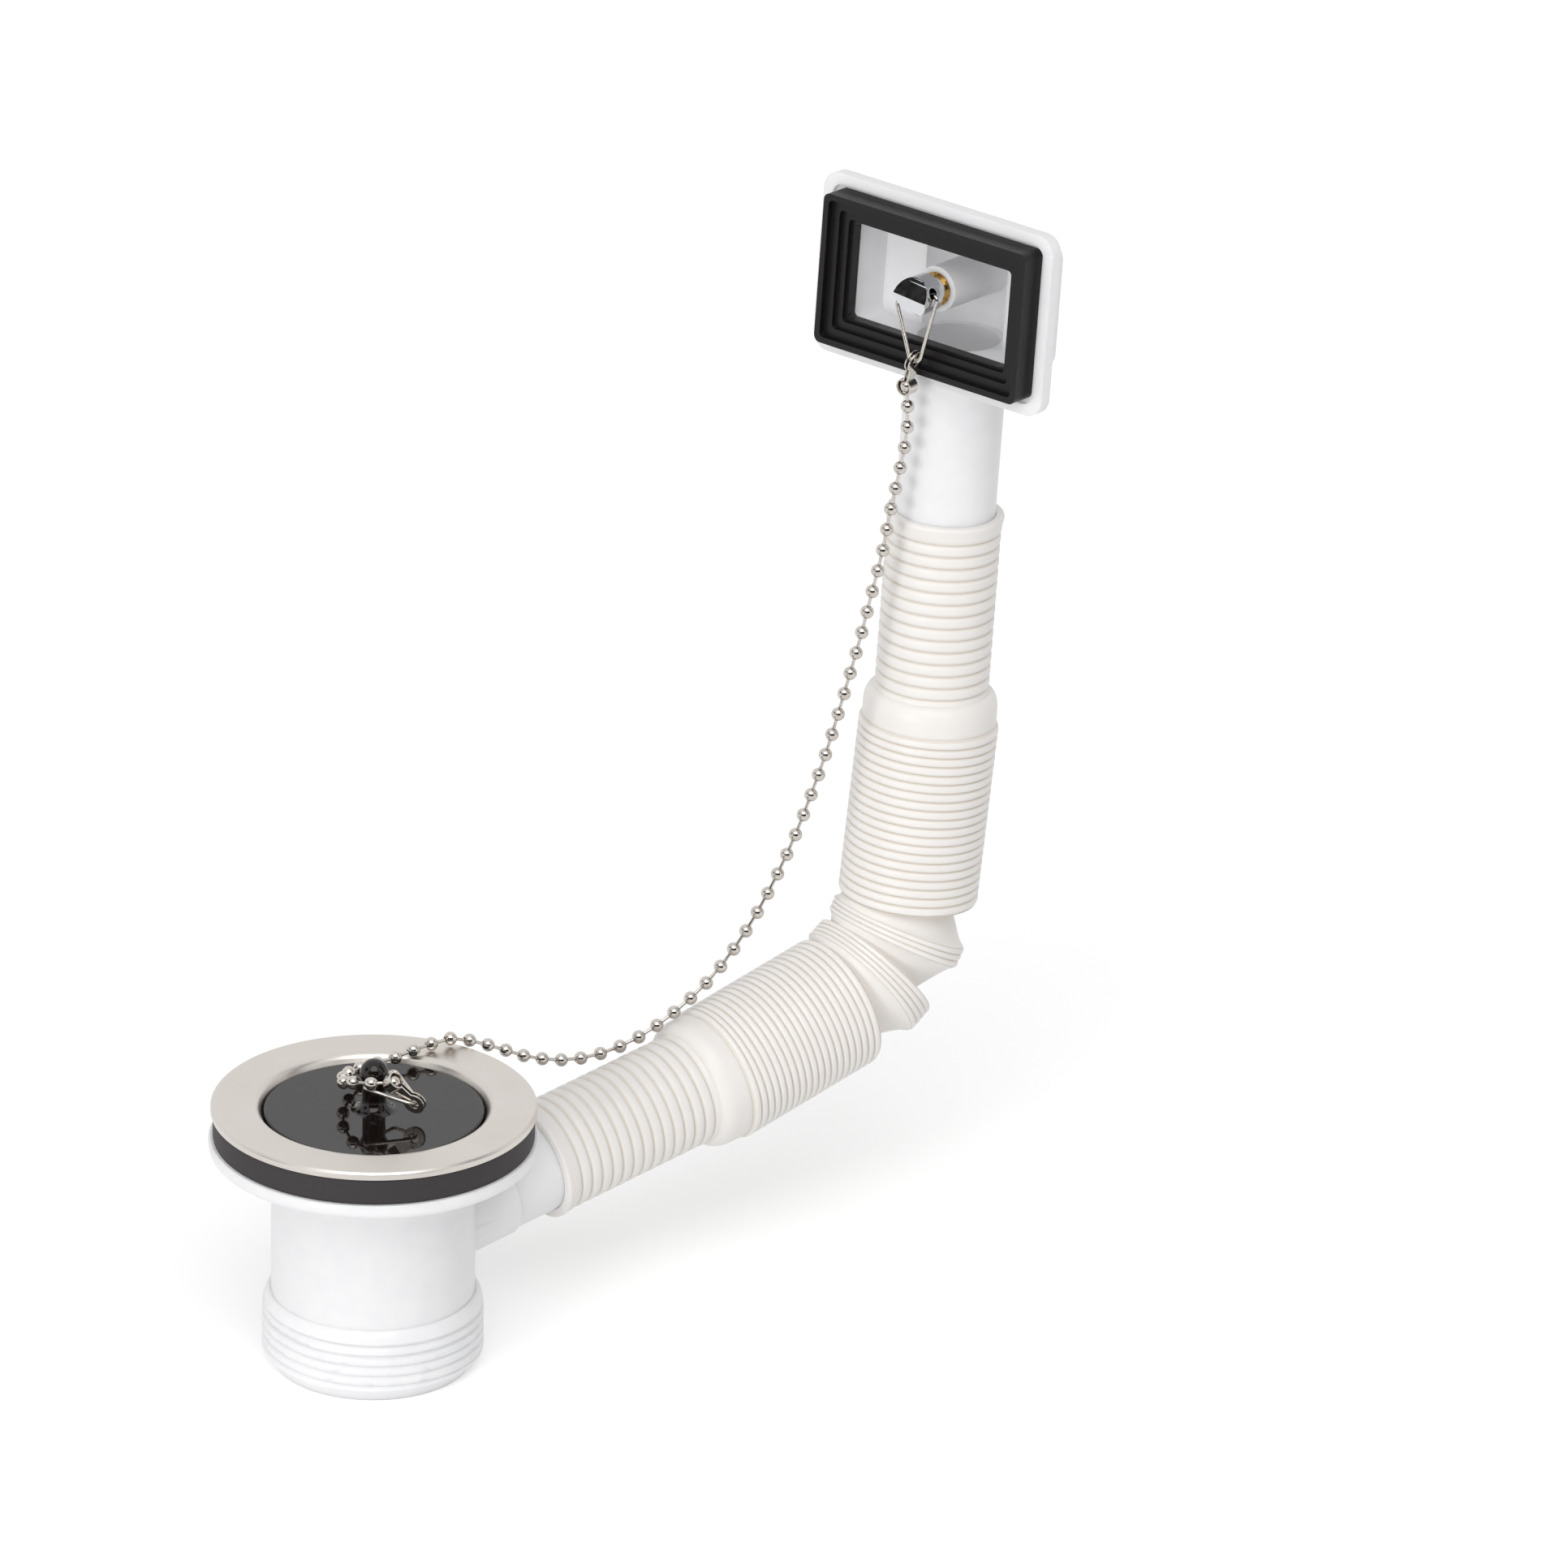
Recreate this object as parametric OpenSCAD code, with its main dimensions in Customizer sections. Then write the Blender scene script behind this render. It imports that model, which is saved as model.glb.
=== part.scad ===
// Sink waste with plug, ball chain, corrugated overflow hose and rectangular overflow head.
// Millimetres. The waste stands on Z, its steel flange seats on the sink at z = 0, and the
// overflow leaves toward +X. The head faces back toward the waste, turned a little on its hose.

/* [Steel flange] */
// Diameter of the steel flange
flange_d = 70; // [66:0.5:90]
// Height of the flange's top above the sink
flange_rise = 1.7; // [1.2:0.1:2.5]
// Thickness of the steel sheet
sheet_t = 0.8; // [0.5:0.1:1]
// Diameter of the dish just under its rounded edge
dish_d = 49.2; // [47:0.2:52]
// Depth from the flange's top to the dish floor
dish_depth = 11.7; // [10:0.1:12]
// Half the angle of the dish's cone
dish_angle = 27; // [20:1:30]
// Number of water holes in the dish floor
drain_holes = 8; // [6:1:9]
// Diameter of a water hole
drain_hole_d = 7; // [4:0.5:8]

/* [Plug] */
// Gap all round between the plug and the dish's edge
plug_gap = 1; // [0.6:0.1:2]
// How far the plug's face lies below the flange's top
plug_drop = 1; // [0.4:0.1:2]
// Thickness of the plug
plug_t = 6.2; // [4:0.1:7]
// Diameter of the knob's round top
knob_d = 6.8; // [5:0.1:9]
// Height of the knob over the plug's face
knob_h = 13; // [11:0.5:18]

/* [Washer] */
// Thickness of the rubber washer under the flange
washer_t = 6; // [4:0.5:9]
// How much the washer is smaller in radius than the flange
washer_set_in = 0.5; // [0:0.1:2]

/* [Waste body] */
// How much the body's flange is larger in radius than the steel one
body_flange_over = 0.4; // [0:0.1:2]
// Thickness of the body's flange
body_flange_t = 3.3; // [2.5:0.1:5]
// Outside diameter of the neck
neck_d = 44; // [42:0.5:46]
// Wall of the neck
neck_wall = 2.5; // [2:0.1:3]
// Major diameter of the tail thread
tail_d = 47.8; // [47:0.1:50]
// Length from the sink to the end of the tail
waste_l = 58.7; // [55:0.5:75]
// Length of the threaded collar, with its rounded shoulder
collar_l = 17; // [14:0.5:18]

/* [Overflow spigots] */
// Outside diameter of both spigots
spigot_d = 22; // [20:0.5:23]
// Wall of a spigot
spigot_wall = 2; // [1.5:0.1:2.5]
// Angle at which the lower spigot rises
spigot_rise = 9.7; // [0:0.1:12]
// Depth of the lower spigot's axis below the sink, on the waste's axis
spigot_depth = 31.3; // [30:0.1:34]
// Distance from the waste's axis to the end of the hose
hose_start = 43; // [41:0.2:60]
// How far a spigot goes into the hose
spigot_grip = 28; // [15:1:34]

/* [Hose] */
// Wall of the hose's cuffs between two ribs
hose_wall = 0.9; // [0.7:0.1:1.4]
// Height of a cuff rib
cuff_rib_h = 0.6; // [0.4:0.1:1]
// Pitch of the cuff ribs
cuff_pitch = 2.78; // [2.2:0.01:3.5]
// Number of ribs on each cuff
cuff_ribs = 14; // [8:1:16]
// Outside diameter of the smooth collars
hose_collar_d = 29.5; // [28:0.1:30]
// Length of a smooth collar
hose_collar_l = 8.6; // [8:0.1:14]
// Outside diameter of the bellows
bellows_d = 30.8; // [30:0.1:33]
// Depth of a fold of the bellows
fold_depth = 1; // [0.6:0.1:1.5]
// Pitch of the folds in the lower run
lower_pitch = 1.75; // [1.6:0.05:2.4]
// Number of folds in the lower run
lower_folds = 20; // [14:1:24]
// Pitch of the folds in the upper run
upper_pitch = 2.05; // [1.6:0.05:2.4]
// Number of folds in the upper run
upper_folds = 20; // [16:1:26]
// Angle of the lower run
lower_angle = 15; // [10:1:18]
// Angle of the upper run
upper_angle = 83.5; // [80:0.5:88]
// Lean of the upper cuff and the head, away from upright
head_lean = 3.5; // [0:0.5:6]

/* [Overflow head] */
// Turn of the head about its spigot
head_turn = 15; // [-30:1:30]
// Height of the head's middle above the end of the hose
head_height = 52.3; // [40:1:70]
// Width of the head's rim
plate_w = 62; // [58:0.5:70]
// Height of the head's rim
plate_h = 40.8; // [39:0.2:48]
// Depth of the rim
plate_t = 3; // [2.5:0.1:5]
// Distance from the rim's face back to the spigot's axis
spigot_back = 11; // [11:0.1:14]
// Wall of the head
head_wall = 2; // [1.5:0.1:2.5]
// Diameter of the boss in the head
boss_d = 10; // [9.4:0.1:12]
// How far the boss ends behind the rim's face
boss_back = 1.5; // [0:0.1:3]
// Diameter of the screw's head
screw_d = 8.6; // [7:0.1:9]

/* [Gasket] */
// Width of the gasket's moulded frame, across one side
gasket_band = 6; // [5:0.2:7]
// How far the gasket's lip stands out past the rim's face
gasket_proud = 4.7; // [4:0.1:5.4]

/* [Chain] */
// Diameter of a ball
ball_d = 3; // [2.4:0.1:3.2]
// Distance from ball to ball
ball_pitch = 4.75; // [4.2:0.05:6]
// Diameter of the link between two balls
link_d = 0.8; // [0.5:0.1:1]
// Diameter of the bails' wire
wire_d = 0.85; // [0.6:0.05:1]
// Distance from a coupling's eye to the ball that it holds
coupling_reach = 6.4; // [6:0.1:7.5]
// Thickness of the couplings' strip
strip_t = 0.35; // [0.25:0.05:0.5]

/* [Hidden] */
$fn = 72;
eps = 0.01;
seat_gap = 0.1;     // between rigid pieces that fit into each other

// Waste
rim_top = flange_rise;
dish_floor = rim_top - dish_depth;
dish_edge = 2;      // radius of the dish's rounded edge
dish_slope = tan(dish_angle);
wall_top = rim_top - dish_edge * (1 - sin(dish_angle));
washer_d = flange_d - 2 * washer_set_in;
body_flange_d = flange_d + 2 * body_flange_over;
body_top = -washer_t;
neck_top = body_top - body_flange_t;
neck_bore = neck_d - 2 * neck_wall;
collar_top = collar_l - waste_l;
shoulder_l = 5;
tail_chamfer = 2.6;
tail_lead = 3.4;
hub_d = 13;
insert_d = 9;
insert_l = 10;
hub_l = 13;
hub_top = dish_floor - sheet_t - seat_gap;
flange_screw_d = 6;
spigot_bore = spigot_d - 2 * spigot_wall;
spigot_root_d = spigot_d + 1.2;
root_l = hose_start - 12;

// Radius of the dish's inner face at height z
function dish_r(z) = dish_d / 2 - (wall_top - z) * dish_slope;

// Hose
hose_bore = spigot_d + 2 * seat_gap;
cuff_root = hose_bore + 2 * hose_wall;
cuff_crest = cuff_root + 2 * cuff_rib_h;
cuff_lip = 1.2;     // plain flared end of a cuff
cuff_l = cuff_ribs * cuff_pitch + cuff_lip;
fold_root = bellows_d - 2 * fold_depth;
bellows_bore = fold_root - 2 * hose_wall;
bunch_pitch = 1;    // of the folds that stay pressed together in the bend
bunches = [4, 3];   // folds in each bunch of the bend
kinks = len(bunches) + 1;
kink_angle = (upper_angle - lower_angle) / kinks;
kink_hinge = bellows_d / 2 + 1.6 / tan(kink_angle);
kink_l = 2 * kink_hinge * sin(kink_angle / 2);

// Point at distance d from p, in the XZ plane at angle a
function go(p, a, d) = p + d * [cos(a), 0, sin(a)];

spigot_root = [0, 0, -spigot_depth];
cuff_end = go(spigot_root, spigot_rise, hose_start);
lower_collar = go(cuff_end, spigot_rise, cuff_l);
lower_run = go(lower_collar, spigot_rise, hose_collar_l);
kink_1 = go(lower_run, lower_angle, lower_folds * lower_pitch);
angle_1 = lower_angle + kink_angle;
bunch_1 = go(kink_1, lower_angle + kink_angle / 2, kink_l);
kink_2 = go(bunch_1, angle_1, bunches[0] * bunch_pitch);
angle_2 = angle_1 + kink_angle;
bunch_2 = go(kink_2, angle_1 + kink_angle / 2, kink_l);
kink_3 = go(bunch_2, angle_2, bunches[1] * bunch_pitch);
upper_run = go(kink_3, angle_2 + kink_angle / 2, kink_l);
upper_collar = go(upper_run, upper_angle, upper_folds * upper_pitch);
head_angle = 90 - head_lean;
upper_cuff = go(upper_collar, head_angle, hose_collar_l);
hose_end = go(upper_cuff, head_angle, cuff_l);

// Straight stretches of the wide bore: start, angle, length and diameter
bore_lap = 1.5;
kink_bore = bellows_bore - 0.3;
collar_bore = bellows_bore - 1.3;
bore_runs = [
    [go(lower_collar, spigot_rise, 5.5), spigot_rise, hose_collar_l - 5.5, collar_bore],
    [lower_run, lower_angle, lower_folds * lower_pitch, bellows_bore],
    [kink_1, lower_angle + kink_angle / 2, kink_l, kink_bore],
    [bunch_1, angle_1, bunches[0] * bunch_pitch, bellows_bore],
    [kink_2, angle_1 + kink_angle / 2, kink_l, kink_bore],
    [bunch_2, angle_2, bunches[1] * bunch_pitch, bellows_bore],
    [kink_3, angle_2 + kink_angle / 2, kink_l, kink_bore],
    [upper_run, upper_angle, upper_folds * upper_pitch, bellows_bore],
    [upper_collar, head_angle, hose_collar_l - 5.5, collar_bore]
];
head_middle = go(hose_end, head_angle, head_height);

// Head, in its own frame: x runs back from the rim's face, y across, z up its spigot
rim = 2.4;
recess_depth = 1.5;
recess_w = plate_w - 2 * rim;
recess_h = plate_h - 2 * rim;
gasket_w = recess_w - 2.6;
gasket_h = recess_h - 2;
mouth_w = gasket_w - 2 * gasket_band;
mouth_h = gasket_h - 2 * gasket_band;
box_w = mouth_w + 2 * head_wall + 1;
box_h = mouth_h + 2 * head_wall + 3;
box_depth = 12;     // of the box's flat back wall behind the rim's face, inside
box_bend = 7;
box_back = spigot_back + spigot_d / 2 + head_wall;
boss_rise = 0.8;    // of the boss and screw above the rim's middle
bush_d = 7.4;
bush_l = 10;
bush_proud = 0.2;
screw_shank_d = 4.8;
screw_neck_d = 6;
screw_neck_l = 3.2;
screw_l = 6.4;
screw_end = bush_proud - boss_back + screw_neck_l;  // underside of the screw's head
screw_bevel = 2.2;
screw_turn = 5;     // of the screw's ridge, and of its cross hole
cross_hole_turn = 20;
cross_hole_d = 2.5;
cross_hole = screw_end + 3.3;

// Bails and couplings
bail_w = 11.2;
base_bend = 0.8;    // radii of a bail's bends, to the middle of the wire
point_bend = 1.7;
overflow_bail_tip = [-2.9, -17.4];  // where its two sides would meet
overflow_bail_swing = 9;
bail_seat = boss_rise - 0.6;
plug_bail_tip = [0, -12.8];
plug_bail_turn = 16.5;
plug_bail_dip = 15;
eye_d = 4.8;
eye_hole_d = 2.3;
eye_gap = 0.6;
strip_w = 2.6;
knob_hole = 6.4;    // height of the knob's cross hole over the plug's face
plug_face = rim_top - plug_drop;

// Turns p about Y and about Z
function turn_y(a, p) = [p.x * cos(a) + p.z * sin(a), p.y, p.z * cos(a) - p.x * sin(a)];
function turn_z(a, p) = [p.x * cos(a) - p.y * sin(a), p.x * sin(a) + p.y * cos(a), p.z];
function unit(v) = v / norm(v);
function from_head(p) =
    head_middle + turn_y(head_lean, turn_z(head_turn, p - [spigot_back, 0, 0]));

// End of a bail's base, and the lowest point of the bend between its sides
function bail_end(slope) = bail_w / 2 * [cos(slope), -sin(slope)];
function bail_low(tip, slope) =
    let (
        a = unit(bail_end(slope) - tip),
        b = unit(-bail_end(slope) - tip),
        middle = unit(a + b)
    )
    tip + middle * point_bend / sin(acos(a * middle)) - [0, point_bend];

// Each coupling's eye, and the ball it holds
overflow_low = bail_low(overflow_bail_tip, cross_hole_turn);
overflow_eye = from_head([
    -cross_hole + overflow_low.y * sin(overflow_bail_swing), overflow_low.x,
    bail_seat + overflow_low.y * cos(overflow_bail_swing)
]);
top_ball = overflow_eye + coupling_reach * unit([-0.4, 1.6, -6]);
plug_bail_root = [1, -0.2, plug_face + knob_hole];
plug_low = bail_low(plug_bail_tip, 0);
plug_eye = plug_bail_root + turn_z(plug_bail_turn,
    [plug_low.x, plug_low.y * cos(plug_bail_dip), plug_low.y * sin(plug_bail_dip)]);
last_ball = plug_eye + coupling_reach * unit([-3.2, 3.1, 4.2]);

// The chain hangs from the head, lies on the flange and turns once round the knob
chain_route = [
    [135.6, -5, 127.6], [134.3, -4.4, 118.4], [132.5, -3.8, 109.1], [130.8, -3.5, 99.6],
    [128.5, -3.1, 90.4], [126.2, -2.7, 81.1], [123.7, -2.2, 72.1], [121, -1.8, 63],
    [118.2, -1.3, 54], [115, -0.7, 45.2], [111.5, -0.1, 36.5], [107.4, 0.6, 28],
    [102.8, 1.3, 20], [97.6, 2.2, 12.6], [91.4, 3.3, 5.7], [84, 4.7, 0],
    [75.7, 6, -4.4], [66.5, 7.6, -6.9], [57.4, 9.1, -6.9], [48.1, 10.7, -4.3],
    [39.6, 12.2, -0.1], [31.4, 13.8, 3.3], [26.7, 14.4, 3.4], [22, 14.4, 3.3],
    [17.2, 14.4, 2.8], [12.4, 14.3, 2.6], [7.7, 14.3, 2.7], [3.3, 12.9, 3.2],
    [-0.6, 10.2, 4.2], [-4.1, 5.8, 5.4], [-4.9, 0.8, 7.4], [-3.3, -3.2, 8.3]
];
// Points between two stops of the route, on the curve through them
route_steps = 6;
function at(p, i) = p[max(0, min(len(p) - 1, i))];
function between(a, b, c, d, t) =
    0.5 * (2 * b + (c - a) * t + (2 * a - 5 * b + 4 * c - d) * t * t
    + (3 * b - a - 3 * c + d) * t * t * t);
function curve(p) = [
    for (i = [0 : len(p) - 2], k = [0 : route_steps - 1])
        between(at(p, i - 1), p[i], p[i + 1], at(p, i + 2), k / route_steps),
    p[len(p) - 1]
];
chain_line = curve(concat([top_ball], chain_route, [last_ball]));
function run_length(p, i) = i == 0 ? 0 : norm(p[i] - p[i - 1]) + run_length(p, i - 1);
chain_at = [for (i = [0 : len(chain_line) - 1]) run_length(chain_line, i)];
chain_l = chain_at[len(chain_at) - 1];
balls = round(chain_l / ball_pitch);
function along_chain(s) = [
    for (axis = [0 : 2])
        lookup(s, [for (i = [0 : len(chain_line) - 1]) [chain_at[i], chain_line[i][axis]]])
];
ball_centres = [for (i = [0 : balls]) along_chain(chain_l * i / balls)];

// Places its children at p with their Z axis along angle a in the XZ plane
module along(p, a) {
    translate(p) rotate([0, 90 - a, 0]) children();
}

// Points of an arc round c
function arc(c, r, from, to, n = 6) =
    [for (i = [0 : n]) c + r * [cos(from + (to - from) * i / n), sin(from + (to - from) * i / n)]];

// Straight round bar from a to b
module rod(a, b, d) {
    v = b - a;
    translate(a) rotate([0, acos(v.z / norm(v)), atan2(v.y, v.x)]) cylinder(d = d, h = norm(v));
}

// Closed loop of round wire in the XY plane: corners counter-clockwise, each with its bend radius
module wire_loop(corners, bends) {
    n = len(corners);
    for (i = [0 : n - 1]) {
        here = corners[i];
        next = corners[(i + 1) % n];
        r = bends[i];
        before = unit(here - corners[(i + n - 1) % n]);
        after = unit(next - here);
        bend = acos(before * after);
        next_bend = acos(after * unit(corners[(i + 2) % n] - next));
        from = here + after * (r * tan(bend / 2) - 0.05);
        to = next - after * (bends[(i + 1) % n] * tan(next_bend / 2) - 0.05);
        start = here - before * r * tan(bend / 2);
        rod([from.x, from.y, 0], [to.x, to.y, 0], wire_d);
        translate(start + r * [-before.y, before.x]) rotate(atan2(before.y, before.x) - 90)
            rotate_extrude(angle = bend) translate([r, 0]) circle(d = wire_d + 0.03);
    }
}

// Triangular bail in the XY plane: the middle of its sloping base at the origin
module bail(tip, slope) {
    wire_loop([bail_end(slope), -bail_end(slope), tip], [base_bend, base_bend, point_bend]);
}

// Rectangle w by h with rounded corners
module rounded(w, h, r) {
    square([w, h - 2 * r], center = true);
    square([w - 2 * r, h], center = true);
    for (x = [-1, 1], y = [-1, 1]) translate([x * (w / 2 - r), y * (h / 2 - r)]) circle(r);
}

// Rounded slab across the head, from x to x + t
module slab(x, w, h, r, t) {
    translate([x, 0, 0]) rotate([90, 0, 90]) linear_extrude(t) rounded(w, h, r);
}

// Places its children in the head's own frame
module at_head() {
    translate(head_middle) rotate([0, head_lean, 0]) rotate([0, 0, head_turn])
        translate([-spigot_back, 0, 0]) children();
}

// Steel flange: flat rim turned down at its edge, dish with rounded edge, pierced floor
module sink_flange() {
    edge_in = dish_d / 2 + dish_edge * cos(dish_angle);
    floor_r = dish_r(dish_floor + sheet_t);
    outer = [
        [0, dish_floor], [floor_r - 1, dish_floor], [floor_r, dish_floor + sheet_t],
        each arc([edge_in, rim_top - dish_edge], dish_edge, 180 - dish_angle, 90),
        [flange_d / 2 - 0.5, rim_top], [flange_d / 2, rim_top - 0.5], [flange_d / 2, 0],
        [flange_d / 2 - sheet_t, 0], [flange_d / 2 - sheet_t, rim_top - sheet_t],
        each arc([edge_in, rim_top - dish_edge], dish_edge - sheet_t, 90, 180 - dish_angle),
        [floor_r + sheet_t * 0.9, dish_floor + 0.3], [floor_r - 0.4, dish_floor - sheet_t],
        [0, dish_floor - sheet_t]
    ];
    color("#c9c5c0") difference() {
        rotate_extrude() polygon(outer);
        translate([0, 0, dish_floor - 5]) cylinder(d = flange_screw_d + 0.4, h = 10);
        for (i = [0 : drain_holes - 1])
            rotate(i * 360 / drain_holes) translate([floor_r * 0.66, 0, dish_floor - 5])
                cylinder(d = drain_hole_d, h = 10);
    }
}

// Slotted screw that draws the flange down on the body
module flange_screw() {
    head_h = 2.2;
    color("#b8b4ae") difference() {
        union() {
            translate([0, 0, dish_floor + 0.05]) cylinder(d1 = 10.6, d2 = 9.6, h = head_h);
            translate([0, 0, hub_top - insert_l - 2])
                cylinder(d = flange_screw_d, h = dish_floor - hub_top + insert_l + 3);
        }
        translate([-6, -0.6, dish_floor + head_h - 1.1]) cube([12, 1.2, 3]);
    }
}

// Brass bush moulded into the body's hub
module screw_insert() {
    color("#b08d57") translate([0, 0, hub_top - 1 - insert_l]) difference() {
        union() {
            cylinder(d = insert_d - 0.8, h = insert_l);
            for (z = [1, insert_l - 4]) translate([0, 0, z]) cylinder(d = insert_d, h = 3);
        }
        translate([0, 0, -1]) cylinder(d = flange_screw_d + seat_gap, h = insert_l + 2);
    }
}

// Rubber washer between the sink and the body
module sealing_washer() {
    color("#454244") rotate_extrude() polygon([
        [dish_d / 2 + 3, -washer_t], [washer_d / 2 - 0.3, -washer_t],
        [washer_d / 2, -washer_t + 0.3], [washer_d / 2, -0.3], [washer_d / 2 - 0.3, 0],
        [dish_d / 2 + 3, 0]
    ]);
}

// Body's outside from its flange to the tail, as half a section
module body_section() {
    lip = 1.6;
    fillet = 3;
    flare = 1.2;
    neck = neck_d / 2;
    r = body_flange_d / 2;
    polygon([
        [0, body_top], [r - 0.4, body_top], [r, body_top - 0.4],
        each arc([r - lip, neck_top + lip], lip, 0, -90),
        each arc([neck + flare + fillet, neck_top - fillet], fillet, 90, 180),
        [neck, neck_top - fillet - 6], [neck, collar_top],
        for (a = [15 : 15 : 90])
            [neck + (tail_d / 2 - neck) * sin(a), collar_top - shoulder_l * (1 - cos(a))],
        [tail_d / 2, tail_lead - waste_l], [tail_d / 2 - tail_chamfer, -waste_l], [0, -waste_l]
    ]);
}

// Funnel under the dish and the bore down to the tail
module body_bore() {
    clear = sheet_t / cos(dish_angle) + 0.35;
    seat_r = dish_r(dish_floor) + clear + 0.5;
    rotate_extrude() polygon([
        [0, body_top + 1], [dish_r(body_top + 1) + clear, body_top + 1], [seat_r, hub_top],
        [neck_bore / 2, hub_top], [neck_bore / 2, -waste_l - 1], [0, -waste_l - 1]
    ]);
}

// White body: flange, neck, threaded tail, inclined overflow spigot, three-armed hub
module waste_body() {
    arms = 3;
    arm_t = 2.2;
    arm_l = neck_bore / 2 + 1;
    color("#eeeef0") difference() {
        union() {
            difference() {
                union() {
                    rotate_extrude() body_section();
                    along(spigot_root, spigot_rise) {
                        cylinder(d = spigot_d, h = hose_start + spigot_grip);
                        cylinder(d = spigot_root_d, h = root_l);
                        translate([0, 0, root_l - eps])
                            cylinder(d1 = spigot_root_d, d2 = spigot_d, h = 0.8);
                    }
                }
                body_bore();
                along(spigot_root, spigot_rise)
                    cylinder(d = spigot_bore, h = hose_start + spigot_grip + 1);
            }
            translate([0, 0, hub_top - hub_l]) cylinder(d = hub_d, h = hub_l);
            for (i = [0 : arms - 1]) rotate(60 + i * 360 / arms)
                translate([0, -arm_t / 2, hub_top - hub_l + 0.6]) cube([arm_l, arm_t, hub_l - 1.2]);
        }
        translate([0, 0, hub_top - 1 - insert_l]) cylinder(d = insert_d, h = insert_l + 2);
        translate([0, 0, hub_top - hub_l - 1]) cylinder(d = flange_screw_d + 0.6, h = hub_l);
    }
}

// Black plug with its conical seat and the round-topped knob
module plug() {
    face_r = dish_r(wall_top) - plug_gap;
    seat = 0.06;
    foot = plug_face - plug_t;
    knob_r = knob_d / 2;
    color("#1b191b") difference() {
        union() {
            rotate_extrude() polygon([
                [0, plug_face], [face_r - 0.4, plug_face], [face_r, plug_face - 0.4],
                [face_r, wall_top - (plug_gap - seat) / dish_slope],
                [dish_r(foot) - seat, foot], [dish_r(foot) - 3, foot],
                [dish_r(foot) - 4, foot + 2], [0, foot + 2]
            ]);
            translate([0, 0, plug_face - eps]) cylinder(d1 = knob_d + 1.2, d2 = knob_d - 1.4, h = 3);
            translate([0, 0, plug_face]) cylinder(d = knob_d - 1.4, h = knob_h - knob_r);
            translate([0, 0, plug_face + knob_h - knob_r]) sphere(d = knob_d);
        }
        translate([0, 0, plug_face + knob_hole]) rotate([90, 0, plug_bail_turn + 90])
            cylinder(d = 2, h = knob_d + 4, center = true);
    }
}

// Run of n ribs from z = 0, each a rounded band with a narrow groove on either side
module ribs(n, pitch, root, crest) {
    r0 = root / 2;
    r1 = crest / 2;
    band = [[0.06, r0], [0.25, r1], [0.75, r1], [0.94, r0]];
    rotate_extrude() polygon([
        [0, 0], [r0, 0], for (i = [0 : n - 1], p = band) [p.y, (i + p.x) * pitch],
        [r0, n * pitch], [0, n * pitch]
    ]);
}

// Cuff from its flared lip at z = 0, with the smooth collar that widens to the bellows
module cuff() {
    r0 = cuff_root / 2;
    r1 = hose_collar_d / 2;
    lip = cuff_crest / 2 + 0.4;
    rotate_extrude() polygon([
        [0, 0], [lip - 0.3, 0], [lip, 0.4], [lip, cuff_lip - 0.2], [r0, cuff_lip + 0.2], [0, cuff_lip + 0.2]
    ]);
    translate([0, 0, cuff_lip]) ribs(cuff_ribs, cuff_pitch, cuff_root, cuff_crest);
    translate([0, 0, cuff_l]) rotate_extrude() polygon([
        [0, -0.5], [r0, -0.5], [r0 + 0.2, 0], [cuff_crest / 2, 0.5], [cuff_crest / 2, 2],
        [r0 + 0.5 * (r1 - r0), 2.9], [r0 + 0.8 * (r1 - r0), 4], [r1, 5.4],
        [r1, hose_collar_l - 0.6], [r1 - 0.3, hose_collar_l - 0.3],
        [fold_root / 2 - 0.3, hose_collar_l - 0.2], [fold_root / 2 - 0.3, hose_collar_l + 1.6],
        [0, hose_collar_l + 1.6]
    ]);
}

// Unfolded wall on the outside of a kink, between the last fold and the next
module kink(p, a, q, b) {
    disc = fold_root - 0.4;
    hull() {
        along(go(p, a, -0.6), a) cylinder(d = disc, h = 0.4, $fn = 48);
        along(go(q, b, 0.2), b) cylinder(d = disc, h = 0.4, $fn = 48);
    }
}

// One-piece corrugated hose: cuff, collar, bellows, bend of three kinks, bellows, collar, cuff
module overflow_hose() {
    color("#ecebe7") difference() {
        union() {
            along(cuff_end, spigot_rise) cuff();
            along(lower_run, lower_angle) ribs(lower_folds, lower_pitch, fold_root, bellows_d);
            kink(kink_1, lower_angle, bunch_1, angle_1);
            along(bunch_1, angle_1) ribs(bunches[0], bunch_pitch, fold_root, bellows_d);
            kink(kink_2, angle_1, bunch_2, angle_2);
            along(bunch_2, angle_2) ribs(bunches[1], bunch_pitch, fold_root, bellows_d);
            kink(kink_3, angle_2, upper_run, upper_angle);
            along(upper_run, upper_angle) ribs(upper_folds, upper_pitch, fold_root, bellows_d);
            along(hose_end, head_angle) mirror([0, 0, 1]) cuff();
        }
        along(go(cuff_end, spigot_rise, -1), spigot_rise) cylinder(d = hose_bore, h = cuff_l + 4);
        for (run = bore_runs) along(go(run[0], run[1], -bore_lap), run[1])
            cylinder(d = run[3], h = run[2] + 2 * bore_lap);
        along(go(upper_cuff, head_angle, -3), head_angle) cylinder(d = hose_bore, h = cuff_l + 4);
    }
}

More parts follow.
